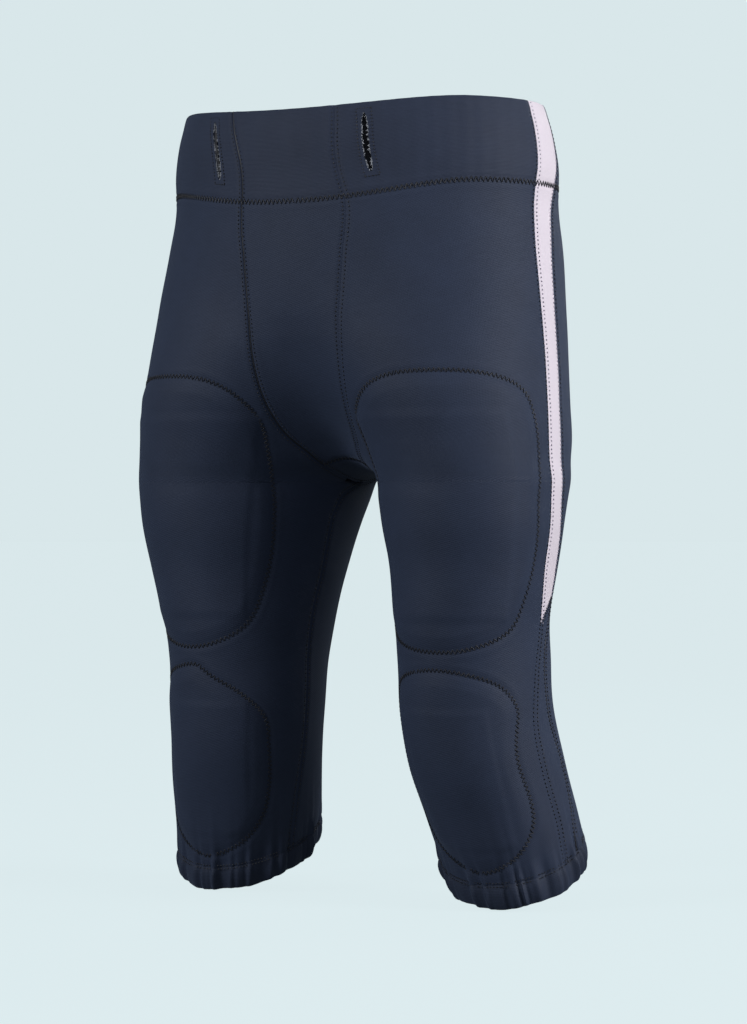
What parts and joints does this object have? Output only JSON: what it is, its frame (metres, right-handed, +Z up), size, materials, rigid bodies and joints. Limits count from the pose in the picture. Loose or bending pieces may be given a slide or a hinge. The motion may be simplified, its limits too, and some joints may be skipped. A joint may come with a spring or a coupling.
{
  "type": "padded sports pants",
  "caption": "Knee-length close-fitting sports pants with slotted waistband, contrasting side stripes, stitched thigh and knee pad pockets and gathered elastic hems.",
  "frame": {"origin": "centre of the waist opening, at the level of its top edge at the sides", "axes": "+Z up, out of the waist; the front of the garment faces -Y; +X is the wearer's left"},
  "size_m": [0.3564, 0.2531, 0.6181],
  "materials": {
    "navy_knit": "smooth stretch knit with a fine diagonal rib, satin",
    "white_knit": "smooth white stretch knit, satin",
    "lining": "thin plain knit lining, matt",
    "elastic": "woven elastic with a fine rib",
    "slot_facing": "brushed grey-white tape, frayed",
    "foam": "closed-cell foam plate, matt"
  },
  "bodies": {
    "garment": {"waistband_front_center": "navy_knit", "waistband_front_left": "navy_knit", "waistband_front_right": "navy_knit", "waistband_stripe_left": "white_knit", "waistband_stripe_right": "white_knit", "waistband_back": "navy_knit", "waist_elastic": "elastic", "waistband_lining": "lining", "belt_slot_facing_left": "slot_facing", "belt_slot_facing_right": "slot_facing", "crotch_panel": "navy_knit", "crotch_gusset": "navy_knit", "front_leg_panel_left": "navy_knit", "front_leg_panel_right": "navy_knit", "back_leg_panel_left": "navy_knit", "back_leg_panel_right": "navy_knit", "side_stripe_left": "white_knit", "side_stripe_right": "white_knit", "side_insert_left": "navy_knit", "side_insert_right": "navy_knit", "thigh_pocket_left": "lining", "thigh_pocket_right": "lining", "knee_pocket_left": "lining", "knee_pocket_right": "lining", "hem_casing_left": "navy_knit", "hem_casing_right": "navy_knit", "hem_elastic_left": "elastic", "hem_elastic_right": "elastic"},
    "thigh_pad_left": {"thigh_pad_left": "foam"},
    "thigh_pad_right": {"thigh_pad_right": "foam"},
    "knee_pad_left": {"knee_pad_left": "foam"},
    "knee_pad_right": {"knee_pad_right": "foam"}
  },
  "joints": [
    {"name": "thigh_pad_slide_left", "type": "slide", "parent": "garment", "child": "thigh_pad_left", "axis": [-0.1455, -0.194, 0.9701], "range_m": [0, 0.02]},
    {"name": "knee_pad_slide_left", "type": "slide", "parent": "garment", "child": "knee_pad_left", "axis": [-0.049, -0.1959, 0.9794], "range_m": [0, 0.015]},
    {"name": "thigh_pad_slide_right", "type": "slide", "parent": "garment", "child": "thigh_pad_right", "axis": [0.1455, -0.194, 0.9701], "range_m": [0, 0.02]},
    {"name": "knee_pad_slide_right", "type": "slide", "parent": "garment", "child": "knee_pad_right", "axis": [0.049, -0.1959, 0.9794], "range_m": [0, 0.015]}
  ]
}
